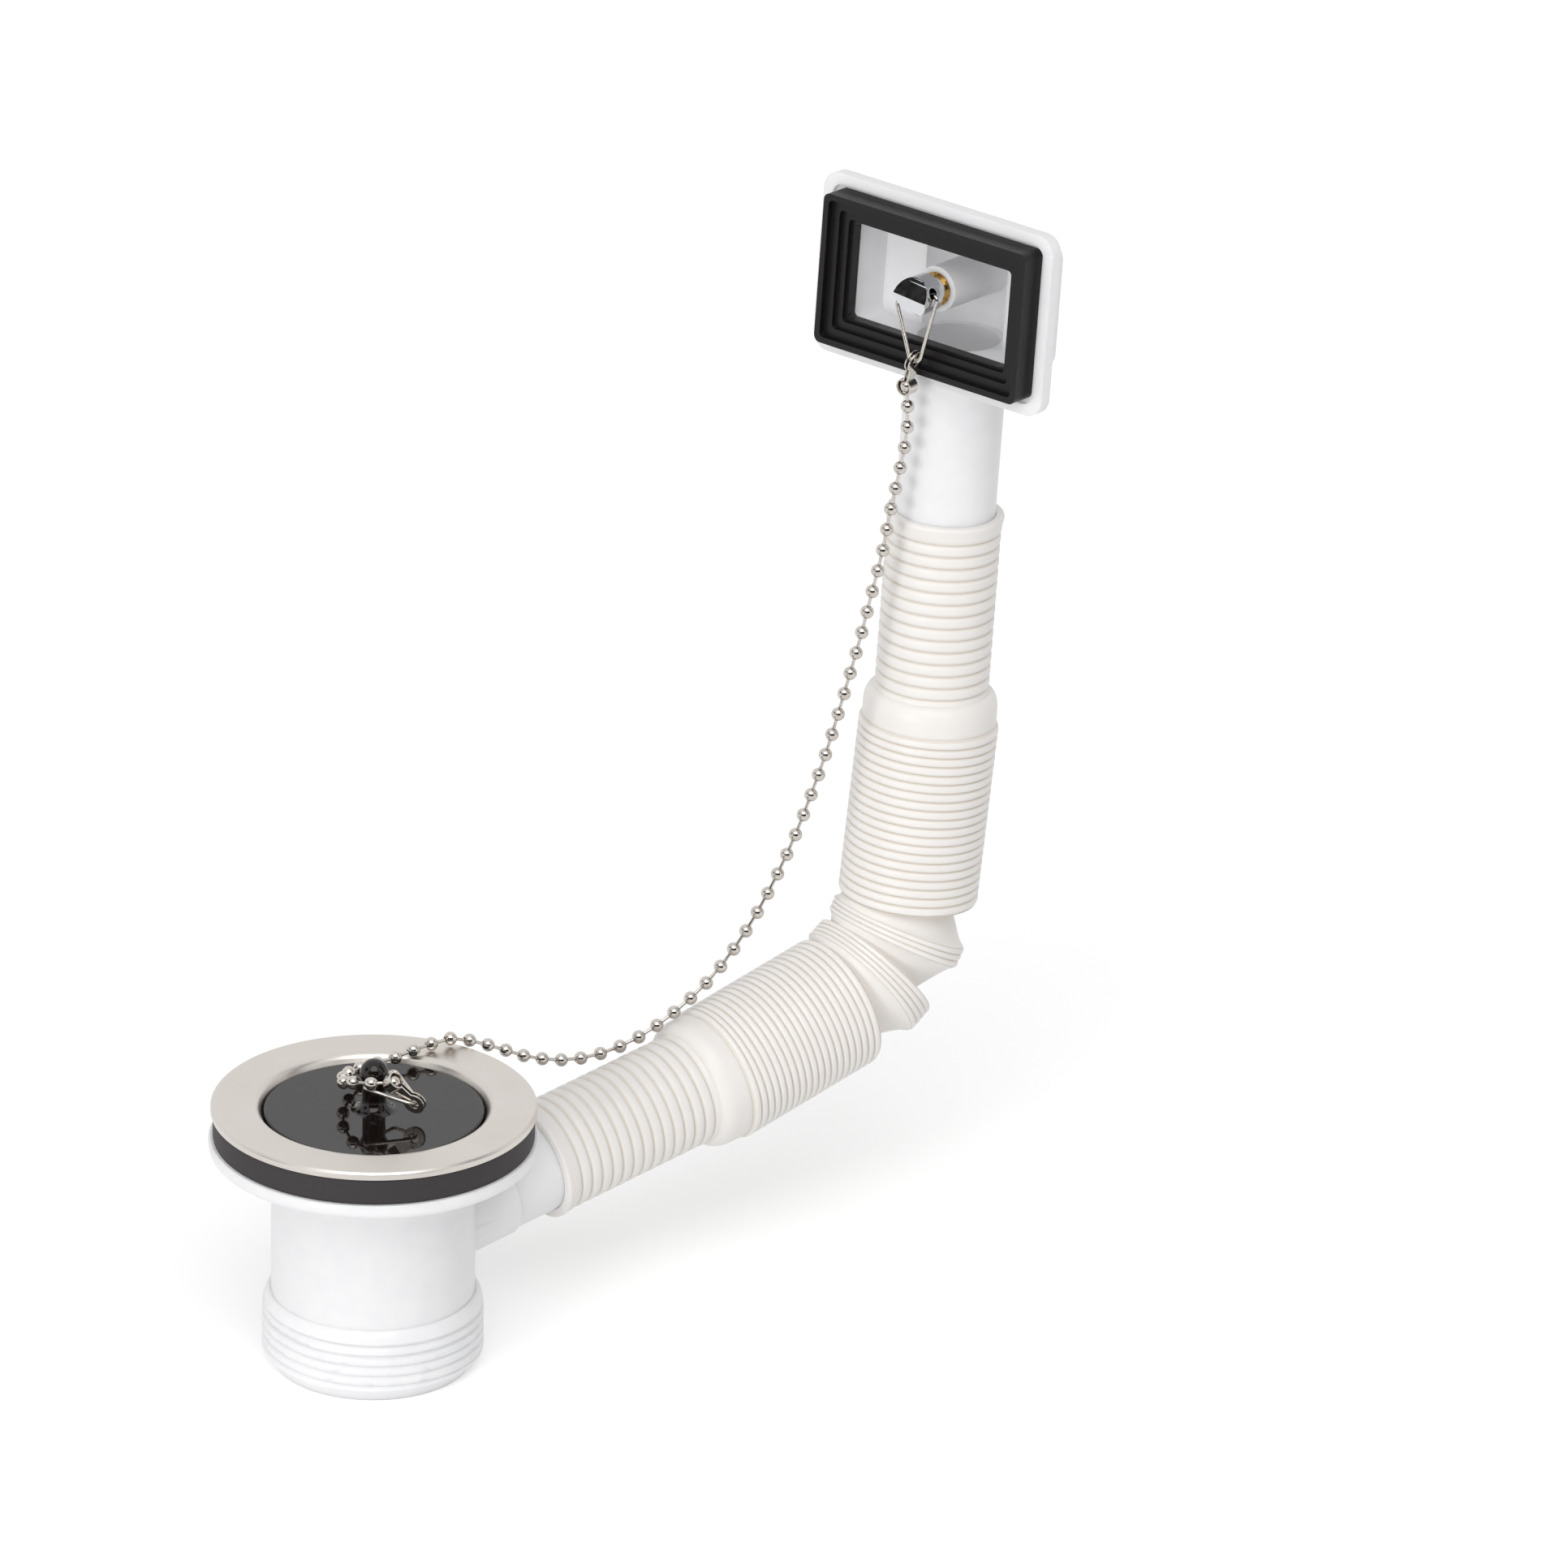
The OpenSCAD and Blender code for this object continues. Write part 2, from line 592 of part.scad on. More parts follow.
// Box behind the rim, w by h, widened at its back into a barrel round the spigot's axis,
// its top bent down to the back; front and grow are where it starts and how far it is offset
module head_box(front, w, h, r, grow) {
    barrel_r = spigot_d / 2 + grow;
    back = spigot_back + barrel_r;
    bend = box_bend + grow;
    intersection() {
        union() {
            slab(front, w, h, r, box_depth + grow - front);
            translate([spigot_back, 0, -h / 2]) cylinder(r = barrel_r, h = h);
        }
        rotate([90, 0, 0]) linear_extrude(w + 2, center = true) union() {
            translate([front, -h / 2]) square([back - bend - front, h]);
            translate([back - bend - eps, -h / 2]) square([bend + eps, h - bend]);
            translate([back - bend, h / 2 - bend]) circle(bend);
        }
    }
}

// White head: rim with its recess, box open to the front, boss, spigot down to the hose
module overflow_head() {
    spigot_end = -head_height - spigot_grip;
    color("#eeeef0") at_head() difference() {
        union() {
            difference() {
                union() {
                    slab(0, plate_w, plate_h, 4, plate_t);
                    head_box(plate_t - eps, box_w, box_h, 4, head_wall);
                    translate([spigot_back, 0, spigot_end]) cylinder(d = spigot_d, h = -spigot_end);
                }
                slab(-1, recess_w, recess_h, 2.8, 1 + recess_depth);
                head_box(-1, box_w - 2 * head_wall, box_h - 2 * head_wall, 2, 0);
                translate([spigot_back, 0, spigot_end - 1])
                    cylinder(d = spigot_bore, h = -spigot_end + 1);
            }
            translate([boss_back, 0, boss_rise]) rotate([0, 90, 0])
                cylinder(d = boss_d, h = box_back - head_wall / 2 - boss_back);
        }
        translate([boss_back - 1, 0, boss_rise]) rotate([0, 90, 0])
            cylinder(d = bush_d, h = 1 + bush_l - bush_proud);
        translate([boss_back, 0, boss_rise]) rotate([0, 90, 0])
            cylinder(d = screw_shank_d + 0.6, h = bush_l + 3);
    }
}

// Moulded rubber frame with three stepped ribs
module overflow_gasket() {
    base = recess_depth;
    full = gasket_proud + recess_depth;
    // Each rib: where its inner edge lies across the band, and its height as a share of the full one
    steps = [[0.23, 1], [0.43, 0.76], [0.58, 0.84], [0.76, 0.58], [0.88, 0.67], [1, 0.42]];
    color("#2a282a") at_head() difference() {
        for (s = steps) slab(base - full * s.y, gasket_w, gasket_h, 1.6, full * s.y);
        for (i = [0 : len(steps) - 1]) {
            inset = 2 * gasket_band * steps[i].x;
            next = i + 1 < len(steps) ? steps[i + 1].y : 0;
            slab(base - full - 1, gasket_w - inset, gasket_h - inset, 1, full + 1 - full * next);
        }
        slab(-full - 1, mouth_w, mouth_h, 1, 2 * full + 2);
    }
}

// Brass bush in the boss
module boss_bush() {
    color("#b08d57") at_head() translate([boss_back - bush_proud, 0, boss_rise])
        rotate([0, 90, 0]) difference() {
            cylinder(d = bush_d, h = bush_l);
            translate([0, 0, -1]) cylinder(d = screw_shank_d + seat_gap, h = bush_l + 2);
        }
}

// Chromed screw: head bevelled to a ridge and drilled across for the bail, neck, shank
module overflow_screw() {
    color("#d7d8da") at_head() translate([0, 0, boss_rise]) difference() {
        union() {
            translate([-screw_end - screw_l, 0, 0]) rotate([0, 90, 0])
                cylinder(d = screw_d, h = screw_l);
            translate([-screw_end - eps, 0, 0]) rotate([0, 90, 0])
                cylinder(d = screw_neck_d, h = screw_neck_l + eps);
            translate([boss_back - bush_proud - 0.5, 0, 0]) rotate([0, 90, 0])
                cylinder(d = screw_shank_d, h = bush_l);
        }
        for (side = [0, 1]) translate([-screw_end - screw_l, 0, 0])
            rotate([screw_turn + 180 * side, 0, 0]) rotate([0, atan(2 * screw_bevel / screw_d), 0])
                translate([-5, -screw_d, 0]) cube([5, 2 * screw_d, 2 * screw_d]);
        translate([-cross_hole, 0, 0]) rotate([90 - cross_hole_turn, 0, 0])
            cylinder(d = cross_hole_d, h = screw_d + 2, center = true);
    }
}

// Wire bail that hangs from the hole across the overflow screw
module overflow_bail() {
    color("#c4c0b8") at_head() translate([-cross_hole, 0, bail_seat])
        rotate([90 + overflow_bail_swing, 0, 90])
            bail(overflow_bail_tip, cross_hole_turn);
}

// Wire bail through the plug's knob, laid down on one side
module plug_bail() {
    color("#c4c0b8") translate(plug_bail_root) rotate([plug_bail_dip, 0, plug_bail_turn])
        bail(plug_bail_tip, 0);
}

// Folded strip: two eyes at z = 0, and a loop round the ball at z = coupling_reach
module coupling() {
    loop_r = ball_d / 2 + 0.12;
    neck_y = eye_gap / 2;
    difference() {
        union() {
            for (s = [-1, 1]) translate([0, s * (eye_gap + strip_t) / 2, 0]) rotate([90, 0, 0])
                cylinder(d = eye_d, h = strip_t, center = true);
            translate([0, 0, coupling_reach]) rotate([0, 90, 0]) difference() {
                cylinder(r = loop_r + strip_t, h = strip_w, center = true);
                cylinder(r = loop_r, h = strip_w + 1, center = true);
                rotate([0, -90, 0]) translate([-strip_w, -neck_y, -loop_r - 1])
                    cube([2 * strip_w, 2 * neck_y, loop_r]);
            }
            for (s = [-1, 1]) translate([-strip_w / 2, s > 0 ? neck_y : -neck_y - strip_t, eye_d / 2 - 0.8])
                cube([strip_w, strip_t, coupling_reach - loop_r - eye_d / 2 + 0.9]);
        }
        rotate([90, 0, 0]) cylinder(d = eye_hole_d, h = 2 * eye_d, center = true);
        translate([0, 0, coupling_reach]) cylinder(d = link_d + 0.3, h = ball_d);
    }
}

// Coupling from the eye to the ball that it holds, its eyes square to the wire as far as they go
module coupling_between(eye, ball, wire) {
    z = unit(ball - eye);
    y = unit(wire - (wire * z) * z);
    x = cross(y, z);
    multmatrix([
        [x.x, y.x, z.x, eye.x], [x.y, y.y, z.y, eye.y], [x.z, y.z, z.z, eye.z], [0, 0, 0, 1]
    ]) coupling();
}

module overflow_coupling() {
    color("#b9b2a8") coupling_between(overflow_eye, top_ball, turn_z(head_turn, [0, 1, 0]));
}

module plug_coupling() {
    color("#b9b2a8") coupling_between(plug_eye, last_ball, turn_z(plug_bail_turn, [1, 0, 0]));
}

// Hollow nickel-plated balls of the chain
module chain_balls() {
    color("#c9c4bc") for (p = ball_centres) translate(p) sphere(d = ball_d);
}

// Wire links from ball to ball
module chain_links() {
    color("#a9a49c") for (i = [0 : balls - 1]) {
        a = ball_centres[i];
        b = ball_centres[i + 1];
        reach = unit(b - a) * (ball_d / 2 - 0.02);
        rod(a + reach, b - reach, link_d);
    }
}

sink_flange();
flange_screw();
screw_insert();
sealing_washer();
waste_body();
plug();
overflow_hose();
overflow_head();
overflow_gasket();
boss_bush();
overflow_screw();
overflow_bail();
overflow_coupling();
chain_balls();
chain_links();
plug_coupling();
plug_bail();
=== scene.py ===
import math

import bmesh
import bpy
from mathutils import Matrix, Vector


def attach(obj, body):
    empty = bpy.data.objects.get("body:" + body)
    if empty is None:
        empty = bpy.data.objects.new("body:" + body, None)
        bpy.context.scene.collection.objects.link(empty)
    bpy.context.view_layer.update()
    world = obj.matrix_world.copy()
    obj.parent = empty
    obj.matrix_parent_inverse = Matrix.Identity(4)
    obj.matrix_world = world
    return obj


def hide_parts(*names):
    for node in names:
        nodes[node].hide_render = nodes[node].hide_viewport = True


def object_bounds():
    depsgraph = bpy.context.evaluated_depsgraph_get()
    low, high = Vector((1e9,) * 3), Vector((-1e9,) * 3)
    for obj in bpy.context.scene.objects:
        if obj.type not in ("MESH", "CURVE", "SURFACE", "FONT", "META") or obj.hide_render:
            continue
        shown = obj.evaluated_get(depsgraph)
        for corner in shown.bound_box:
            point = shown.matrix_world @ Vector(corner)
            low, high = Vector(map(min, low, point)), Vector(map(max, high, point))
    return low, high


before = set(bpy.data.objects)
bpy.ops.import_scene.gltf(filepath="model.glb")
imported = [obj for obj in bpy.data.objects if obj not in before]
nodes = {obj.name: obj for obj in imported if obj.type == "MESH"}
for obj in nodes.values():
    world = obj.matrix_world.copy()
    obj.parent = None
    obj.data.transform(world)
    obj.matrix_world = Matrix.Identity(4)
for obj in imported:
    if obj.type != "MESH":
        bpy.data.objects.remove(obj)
cadBox = [list(corner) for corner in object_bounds()]
mm = 0.001
print("frame loaded,", len(nodes), "nodes")


# Camera at the photograph's viewing angle
camera = {
    "azimuth": 52.828,        # direction it looks in, from +X towards +Y, degrees
    "elevation": 23.76,
    "roll": 1.204,
    "aim": (86.07, -29.13, 65.42),    # mm, in the middle of the picture
    "distance": 2500,         # mm
    "lens": 268.45, "sensor": 36,     # mm
    "clip": (0.1, 50),        # m
}


def makeCamera(c):
    az, el, roll = (math.radians(c[k]) for k in ("azimuth", "elevation", "roll"))
    forward = Vector((math.cos(el) * math.cos(az), math.cos(el) * math.sin(az), -math.sin(el)))
    right = Vector((math.sin(az), -math.cos(az), 0))
    up = right.cross(forward)
    right, up = (math.cos(roll) * right + math.sin(roll) * up,
                 math.cos(roll) * up - math.sin(roll) * right)
    cam = bpy.data.objects.new("camera", bpy.data.cameras.new("camera"))
    bpy.context.scene.collection.objects.link(cam)
    place = Matrix((right, up, -forward)).transposed().to_4x4()
    place.translation = Vector(c["aim"]) * mm - forward * c["distance"] * mm
    cam.matrix_world = place
    cam.data.lens = c["lens"]
    cam.data.sensor_width = c["sensor"]
    cam.data.clip_start, cam.data.clip_end = c["clip"]
    bpy.context.scene.camera = cam


makeCamera(camera)


# sRGB hex text to the linear colour that a shader takes
def linear(hexText):
    parts = [int(hexText[i:i + 2], 16) / 255 for i in (1, 3, 5)]
    return (*[p / 12.92 if p <= 0.04045 else ((p + 0.055) / 1.055) ** 2.4 for p in parts], 1)


# Adds one node: settings go to its sockets or its own properties, links are {socket: source}
def addNode(tree, kind, settings=(), links=()):
    node = tree.nodes.new(kind)
    for name, value in dict(settings).items():
        if isinstance(name, int) or name in node.inputs:
            node.inputs[name].default_value = value
        else:
            setattr(node, name, value)
    for name, source in dict(links).items():
        tree.links.new(source, node.inputs[name])
    return node


def newMaterial(name, color, settings):
    mat = bpy.data.materials.new(name)
    mat.use_nodes = True
    tree = mat.node_tree
    shader = tree.nodes["Principled BSDF"]
    shader.inputs["Base Color"].default_value = linear(color)
    for socket, value in settings.items():
        shader.inputs[socket].default_value = value
    place = addNode(tree, "ShaderNodeTexCoord").outputs["Object"]
    mat.diffuse_color = linear(color)
    return mat, tree, shader, place


def perMetre(sizeMm):
    return 1 / (sizeMm * mm)        # texture scale for a feature of that size


# Grain of one size: links roughness, colour and bump to it
def addGrain(tree, shader, place, size, rough=None, colors=None, bump=0, detail=2):
    grain = addNode(tree, "ShaderNodeTexNoise", {"Scale": perMetre(size), "Detail": detail},
                    {"Vector": place}).outputs["Fac"]
    if rough:
        spread = addNode(tree, "ShaderNodeMapRange",
                         {"From Min": 0.3, "From Max": 0.7, "To Min": rough[0], "To Max": rough[1]},
                         {"Value": grain})
        tree.links.new(spread.outputs["Result"], shader.inputs["Roughness"])
    if colors:
        mix = addNode(tree, "ShaderNodeValToRGB", {}, {"Fac": grain})
        mix.color_ramp.elements[0].position = 0.35
        mix.color_ramp.elements[1].position = 0.65
        mix.color_ramp.elements[0].color = linear(colors[0])
        mix.color_ramp.elements[1].color = linear(colors[1])
        tree.links.new(mix.outputs["Color"], shader.inputs["Base Color"])
    if bump:
        relief = addNode(tree, "ShaderNodeBump", {"Strength": 1, "Distance": bump * mm},
                         {"Height": grain})
        tree.links.new(relief.outputs["Normal"], shader.inputs["Normal"])
    return grain


# Pressed stainless sheet, satin polished while turning: soft grey with faint rings
satinSteel, tree, shader, place = newMaterial("satinSteel", "#D2CCC6", {"Metallic": 1, "Roughness": 0.3})
flat = addNode(tree, "ShaderNodeVectorMath", {"operation": "MULTIPLY", 1: (1, 1, 0)}, {0: place})
radius = addNode(tree, "ShaderNodeVectorMath", {"operation": "LENGTH"}, {0: flat.outputs["Vector"]})
rings = addNode(tree, "ShaderNodeTexNoise",
                {"noise_dimensions": "1D", "Scale": perMetre(0.35), "Detail": 3},
                {"W": radius.outputs["Value"]})   # polishing lines are finer, drawn as coarse as they show
spread = addNode(tree, "ShaderNodeMapRange", {"To Min": 0.27, "To Max": 0.37},
                 {"Value": rings.outputs["Fac"]})
tree.links.new(spread.outputs["Result"], shader.inputs["Roughness"])
relief = addNode(tree, "ShaderNodeBump", {"Strength": 0.5, "Distance": 0.004 * mm},
                 {"Height": rings.outputs["Fac"]})
tree.links.new(relief.outputs["Normal"], shader.inputs["Normal"])
clouds = addNode(tree, "ShaderNodeTexNoise", {"Scale": perMetre(16), "Detail": 2}, {"Vector": place})
tint = addNode(tree, "ShaderNodeValToRGB", {}, {"Fac": clouds.outputs["Fac"]})
tint.color_ramp.elements[0].color = linear("#CEC8C1")
tint.color_ramp.elements[1].color = linear("#D8D3CE")
tree.links.new(tint.outputs["Color"], shader.inputs["Base Color"])

# Zinc-plated steel screw: dull blue-grey with a fine crystalline mottle
zincPlate, tree, shader, place = newMaterial("zincPlate", "#B4B6B8", {"Metallic": 1})
addGrain(tree, shader, place, 0.4, rough=(0.28, 0.42), colors=("#A9ABAD", "#BDBFC1"), bump=0.004)

# Turned brass: warm yellow, brightest on the cut faces, dulled a little by handling
turnedBrass, tree, shader, place = newMaterial("turnedBrass", "#C39A55", {"Metallic": 1})
addGrain(tree, shader, place, 0.6, rough=(0.2, 0.38), colors=("#A87D3E", "#CDA660"), bump=0.004)

# Moulded nitrile washer: matt dark grey, with the fine dusty grain of a sparked mould
mouldedRubber, tree, shader, place = newMaterial("mouldedRubber", "#2E292B", {"IOR": 1.52})
addGrain(tree, shader, place, 0.3, rough=(0.62, 0.78), colors=("#2A2628", "#353032"),
         bump=0.02, detail=4)

# Injection-moulded polypropylene: clean cool white, half matt, a trace of light inside it
mouldedPolypropylene, tree, shader, place = newMaterial(
    "mouldedPolypropylene", "#F1F1F3",
    {"IOR": 1.49, "Subsurface Weight": 0.4, "Subsurface Radius": (1, 1, 1), "Subsurface Scale": 5 * mm})
addGrain(tree, shader, place, 5, rough=(0.3, 0.4), colors=("#F0F0F2", "#F3F3F4"), bump=0.03)

# Glossy moulded ABS plug: nearly black, a mirror apart from faint wiping marks
glossyAbs, tree, shader, place = newMaterial(
    "glossyAbs", "#191312", {"IOR": 1.54, "Specular IOR Level": 0.35})
addGrain(tree, shader, place, 9, rough=(0.03, 0.07), colors=("#171110", "#1C1614"))

# Moulded EPDM gasket: black, a soft sheen on its ridges
mouldedEpdm, tree, shader, place = newMaterial(
    "mouldedEpdm", "#151213", {"IOR": 1.5, "Specular IOR Level": 0.25})
addGrain(tree, shader, place, 0.35, rough=(0.3, 0.42), colors=("#131112", "#181617"),
         bump=0.012, detail=4)

# Chromium plate over polished brass: a clear mirror with a slightly uneven skin
chromePlate, tree, shader, place = newMaterial("chromePlate", "#D4D5D8", {"Metallic": 1})
addGrain(tree, shader, place, 1.2, rough=(0.04, 0.12), bump=0.012)

# Nickel-plated steel wire and strip: bright but warmer and softer than chromium
nickelPlate, tree, shader, place = newMaterial("nickelPlate", "#C9C3BC", {"Metallic": 1})
addGrain(tree, shader, place, 0.5, rough=(0.06, 0.16), colors=("#BFB9B2", "#D0CBC5"), bump=0.003)

# Blow-moulded polyethylene: milky and slightly warm, light passes a little way through the
# wall, and each groove is painted darker and warmer by its depth, as painted shade in the folds
blownPolyethylene, tree, shader, place = newMaterial(
    "blownPolyethylene", "#ECE9E5",
    {"IOR": 1.5, "Subsurface Weight": 0.25, "Subsurface Radius": (1, 0.96, 0.9),
     "Subsurface Scale": 1.6 * mm})
addGrain(tree, shader, place, 3, rough=(0.36, 0.5), bump=0.03)
milk = addNode(tree, "ShaderNodeTexNoise", {"Scale": perMetre(7), "Detail": 2}, {"Vector": place})
wall = addNode(tree, "ShaderNodeValToRGB", {}, {"Fac": milk.outputs["Fac"]})
wall.color_ramp.elements[0].color = linear("#EAE7E3")
wall.color_ramp.elements[1].color = linear("#EFECE9")
# Painted shade: the groove depth stored on the hose mixes in a darker, warmer colour in the grooves
groove = addNode(tree, "ShaderNodeAttribute", {"attribute_name": "groove"})
shade = addNode(tree, "ShaderNodeMix", {"data_type": "RGBA", 7: linear("#E4DDD4")},
                {0: groove.outputs["Fac"], 6: wall.outputs["Color"]})
tree.links.new(shade.outputs[2], shader.inputs["Base Color"])
print("materials made")


# Makes an object of the piece from its mesh, smooth up to an angle, riding on the fixed body
def newPiece(name, bm, material, sharpAngle=35):
    mesh = bpy.data.meshes.new(name)
    bmesh.ops.recalc_face_normals(bm, faces=bm.faces)
    bm.to_mesh(mesh)
    bm.free()
    mesh.shade_smooth()
    mesh.set_sharp_from_angle(angle=math.radians(sharpAngle))
    mesh.materials.append(material)
    piece = bpy.data.objects.new(name, mesh)
    bpy.context.scene.collection.objects.link(piece)
    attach(piece, "root")
    return piece


# Joins rings of vertices to a skin; a closed loop of rings makes a tube with a wall
def skin(bm, rings, closed=False):
    pairs = list(zip(rings, rings[1:])) + ([(rings[-1], rings[0])] if closed else [])
    for a, b in pairs:
        n = len(a)
        for i in range(n):
            j = (i + 1) % n
            bm.faces.new((a[i], a[j], b[j], b[i]))


# Takes a solid away from a piece for good, and shades what is left
def cutAway(piece, solid, sharpAngle=30):
    cut = piece.modifiers.new("cut", "BOOLEAN")
    cut.object = solid
    cut.operation = "DIFFERENCE"
    cut.solver = "EXACT"
    solved = piece.evaluated_get(bpy.context.evaluated_depsgraph_get())
    piece.data = bpy.data.meshes.new_from_object(solved)
    piece.modifiers.clear()
    bpy.data.objects.remove(solid)
    piece.data.shade_smooth()
    piece.data.set_sharp_from_angle(angle=math.radians(sharpAngle))
    piece.modifiers.new("normals", "WEIGHTED_NORMAL").keep_sharp = True


def toolSolid(bm):
    bmesh.ops.recalc_face_normals(bm, faces=bm.faces)
    mesh = bpy.data.meshes.new("tool")
    bm.to_mesh(mesh)
    bm.free()
    solid = bpy.data.objects.new("tool", mesh)
    bpy.context.scene.collection.objects.link(solid)
    return solid


# Turns a profile of (height, radius) about the line from origin in a direction, all in mm
def turnProfile(bm, origin, direction, profile, sides):
    turn = direction.to_track_quat("Z", "Y").to_matrix()
    rings = []
    for h, r in profile:
        rings.append([bm.verts.new((origin + turn @ Vector((
            r * math.cos(2 * math.pi * i / sides), r * math.sin(2 * math.pi * i / sides), h))) * mm)
            for i in range(sides)])
    skin(bm, rings)
    bm.faces.new(rings[0][::-1])
    bm.faces.new(rings[-1])


# CAD pieces that keep their shape: their finish, and edges as the mould or press leaves them
finishes = {    # node: material, edge radius in mm
    "sink_flange": (satinSteel, 0.12),
    "flange_screw": (zincPlate, 0.1),
    "screw_insert": (turnedBrass, 0),
    "sealing_washer": (mouldedRubber, 0.3),
    "overflow_head": (mouldedPolypropylene, 0.35),
    "overflow_gasket": (mouldedEpdm, 0.3),
    "boss_bush": (turnedBrass, 0.1),
    "overflow_screw": (chromePlate, 0.12),
    "overflow_bail": (nickelPlate, 0),
    "plug_bail": (nickelPlate, 0),
    "overflow_coupling": (nickelPlate, 0.06),
    "plug_coupling": (nickelPlate, 0.06),
}


edges = {"weld": 0.002, "segments": 2, "minAngle": 38}     # mm, count, degrees


def softenEdges(piece, width):
    piece.modifiers.new("weld", "WELD").merge_threshold = edges["weld"] * mm
    bevel = piece.modifiers.new("edges", "BEVEL")
    bevel.width = width * mm
    bevel.segments = edges["segments"]
    bevel.limit_method = "ANGLE"
    bevel.angle_limit = math.radians(edges["minAngle"])
    bevel.use_clamp_overlap = True
    piece.modifiers.new("normals", "WEIGHTED_NORMAL").keep_sharp = True


for node, (material, edge) in finishes.items():
    piece = nodes[node]
    piece.data.materials.clear()
    piece.data.materials.append(material)
    if edge:
        softenEdges(piece, edge)
print("CAD pieces finished")


# Pipe thread on the waste body's tail
thread = {
    "pitch": 2.309,     # mm, eleven to the inch
    "top": -43.65,      # first groove, in mm from the sink's surface
    "turns": 5,
    "depth": 0.75,
    "flat": 0.16,       # half width of the groove's root
    "flank": 27.5,      # degrees
    "proud": 0.5,       # of the cutter, outside the crests
    "runOut": 0.25,     # of a turn, over which the groove comes in and goes out
    "lift": 0.3,        # of the groove's root outside the crests, where it starts
    "steps": 72,        # a turn
    "tailTop": -49.65,  # the crests are measured below this height
}


# Helical groove as a solid: it comes in from outside the wall at both of its ends
def grooveSolid(t, crest):
    bm = bmesh.new()
    outside = crest + t["proud"]
    slope = math.tan(math.radians(t["flank"]))
    count = t["turns"] * t["steps"]
    fadeSteps = t["runOut"] * t["steps"]
    rings = []
    for i in range(count + 1):
        fade = min(1, i / fadeSteps, (count - i) / fadeSteps)
        root = crest - t["depth"] * fade + t["lift"] * (1 - fade)
        half = t["flat"] + (outside - root) * slope
        a = 2 * math.pi * i / t["steps"]
        z = t["top"] - t["pitch"] * i / t["steps"]
        section = [(root, z + t["flat"]), (outside, z + half),
                   (outside, z - half), (root, z - t["flat"])]
        rings.append([bm.verts.new((r * math.cos(a) * mm, r * math.sin(a) * mm, h * mm))
                      for r, h in section])
    skin(bm, rings)
    bm.faces.new(rings[0])
    bm.faces.new(rings[-1][::-1])
    return toolSolid(bm)


def makeThreadedBody(t):
    bm = bmesh.new()
    bm.from_mesh(nodes["waste_body"].data)
    bmesh.ops.remove_doubles(bm, verts=bm.verts, dist=0.001 * mm)
    body = newPiece("threadedBody", bm, mouldedPolypropylene, 30)
    tail = [v.co for v in body.data.vertices if v.co.z < t["tailTop"] * mm]
    crest = max(math.hypot(p.x, p.y) for p in tail) / mm
    cutAway(body, grooveSolid(t, crest))
    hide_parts("waste_body")


makeThreadedBody(thread)
print("body threaded")


# Plug with its round-topped knob
plug = {
    "face": 0.3,            # mm, above the sink's surface
    "faceR": 23.6,
    "edge": 0.45,           # radius of the face's rounded edge
    "band": 1,              # from the face down to where the seat's cone starts
    "footZ": -5.5, "footR": 21.4, "footWall": 3, "hollow": 2,
    "knobR": 3.1, "knobH": 11.6, "stemR": 2.5,
    "pole": 3,              # degrees, of the knob's flat tip
    "flare": 2.7,           # fillet from the stem to the face
    "holeZ": 7.1, "holeD": 1.3, "holeTurn": 106.5,
    "knobSteps": 22, "flareSteps": 8, "edgeSteps": 6, "sides": 160, "holeSides": 24,
}


def makePlug(p):
    centre = p["face"] + p["knobH"] - p["knobR"]
    pole = math.radians(p["pole"])
    knobArc = math.pi - math.asin(p["stemR"] / p["knobR"]) - pole
    profile = []
    for k in range(p["knobSteps"] + 1):
        a = pole + knobArc * k / p["knobSteps"]
        profile.append((centre + p["knobR"] * math.cos(a), p["knobR"] * math.sin(a)))
    for k in range(p["flareSteps"] + 1):
        a = math.radians(90 * k / p["flareSteps"])
        profile.append((p["face"] + p["flare"] * (1 - math.sin(a)),
                        p["stemR"] + p["flare"] * (1 - math.cos(a))))
    for k in range(p["edgeSteps"] + 1):
        a = math.radians(90 * k / p["edgeSteps"])
        profile.append((p["face"] - p["edge"] * (1 - math.cos(a)),
                        p["faceR"] - p["edge"] * (1 - math.sin(a))))
    inner = p["footR"] - p["footWall"]
    profile += [(p["face"] - p["band"], p["faceR"]), (p["footZ"], p["footR"]), (p["footZ"], inner),
                (p["footZ"] + p["hollow"], inner - 1), (p["footZ"] + p["hollow"], 0.5)]
    bm = bmesh.new()
    turnProfile(bm, Vector((0, 0, 0)), Vector((0, 0, 1)), profile, p["sides"])
    piece = newPiece("turnedPlug", bm, glossyAbs, 40)
    bm = bmesh.new()
    turn = math.radians(p["holeTurn"])
    axis = Vector((math.cos(turn), math.sin(turn), 0))
    reach = p["knobR"] + 1
    turnProfile(bm, Vector((0, 0, p["holeZ"])), axis,
                [(-reach, p["holeD"] / 2), (reach, p["holeD"] / 2)], p["holeSides"])
    cutAway(piece, toolSolid(bm), 40)
    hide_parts("plug")


makePlug(plug)
print("plug turned")


